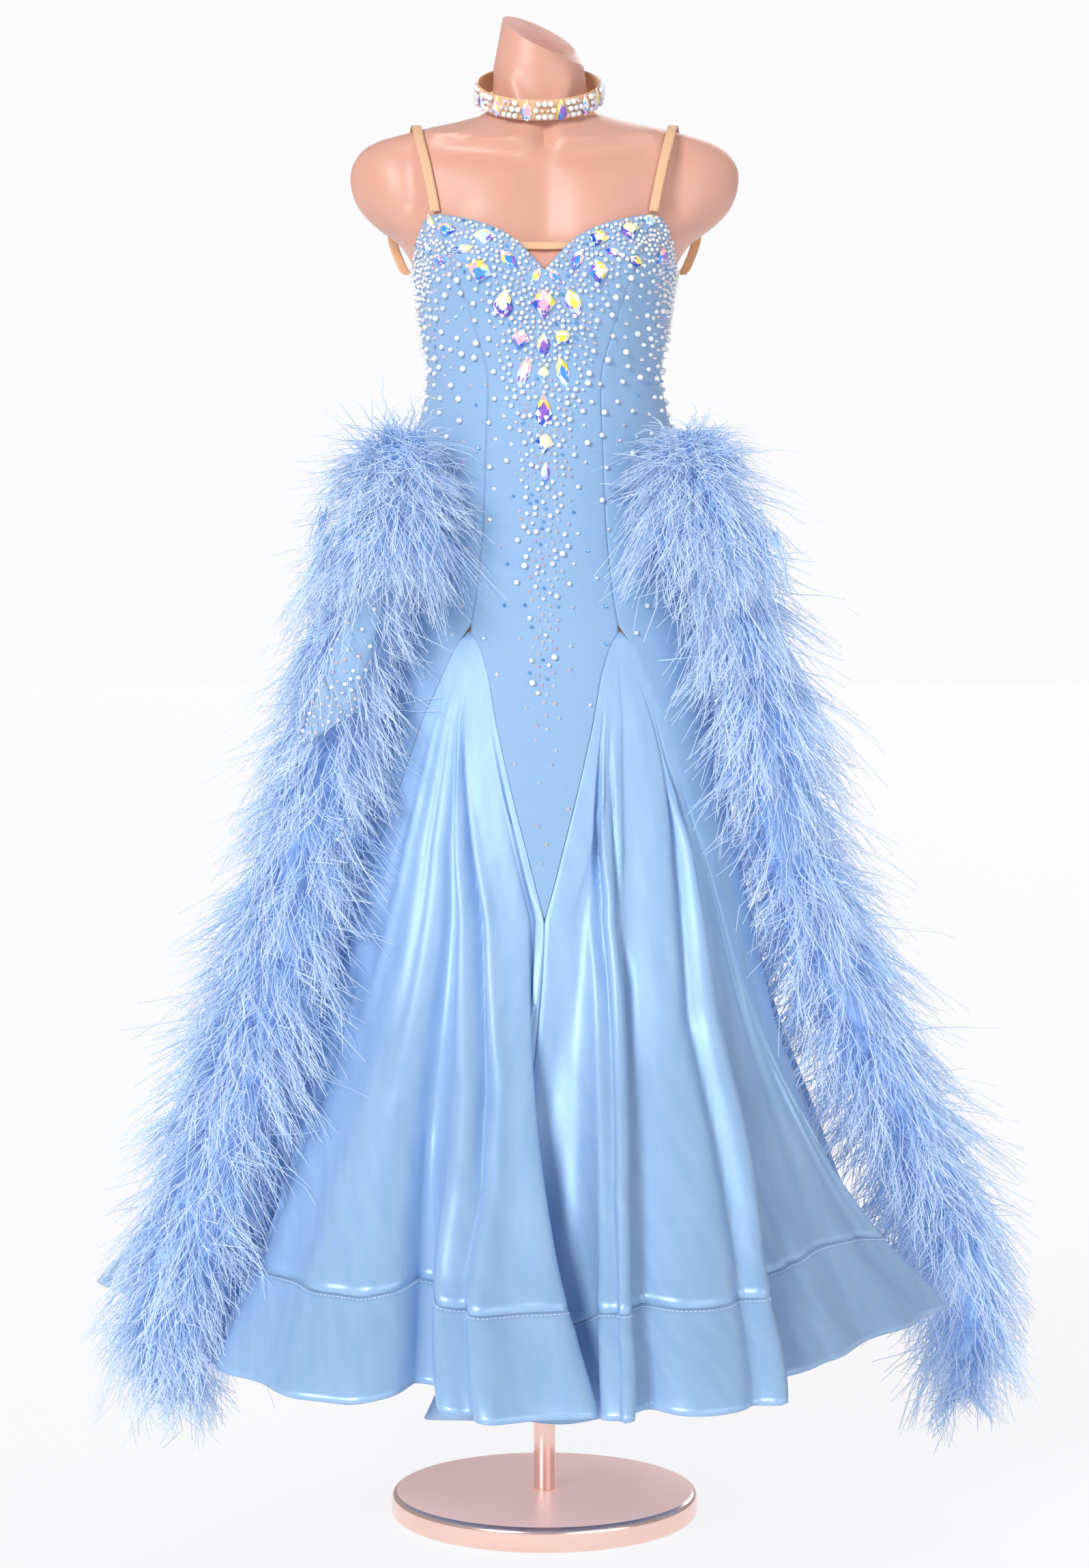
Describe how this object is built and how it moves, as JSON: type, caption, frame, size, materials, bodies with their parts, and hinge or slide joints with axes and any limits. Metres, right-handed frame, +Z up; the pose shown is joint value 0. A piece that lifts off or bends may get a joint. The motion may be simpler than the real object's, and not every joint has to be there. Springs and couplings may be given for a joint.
{
  "type": "ballroom gown on a dress form",
  "caption": "Fitted light blue ballroom gown with satin godets, banded hem, pearl and crystal bodice and feather floats, on a limbless dress form with a round pedestal base.",
  "frame": {"origin": "centre of the round base's underside, on the floor", "axes": "+Z up the pole; the gown faces -Y; +X is the wearer's left, the viewer's right"},
  "size_m": [0.9956, 0.9712, 1.6085],
  "materials": {
    "rose_gold": "polished rose gold plating",
    "form": "smooth rose pink cover, soft satin sheen",
    "crepe": "matte light blue stretch crepe with pearls and crystals",
    "satin": "light blue satin, soft shine",
    "elastic": "nude elastic",
    "stones": "nude elastic covered with pearls and crystals",
    "gauntlet": "light blue mesh with crystals",
    "feather": "pale blue ostrich feather"
  },
  "bodies": {
    "root": {"stand_base": "rose_gold", "stand_pole": "rose_gold", "stand_flange": "rose_gold", "dress_form": "form", "panel_centre_front": "crepe", "panel_side_front_right": "crepe", "panel_side_back_right": "crepe", "panel_centre_back": "crepe", "panel_side_back_left": "crepe", "panel_side_front_left": "crepe", "hem_band_front_right": "satin", "hem_band_side_right": "satin", "hem_band_back_right": "satin", "hem_band_back_left": "satin", "hem_band_side_left": "satin", "hem_band_front_left": "satin", "godet_front_right": "satin", "godet_side_right": "satin", "godet_back_right": "satin", "godet_back_left": "satin", "godet_side_left": "satin", "godet_front_left": "satin", "strap_right": "elastic", "strap_left": "elastic", "neckline_strip": "elastic", "choker_band": "stones", "gauntlet_left": "gauntlet", "gauntlet_right": "gauntlet", "cuff_feathers_left": "feather", "cuff_feathers_right": "feather", "float_feathers_left": "feather", "float_feathers_right": "feather"}
  },
  "joints": []
}
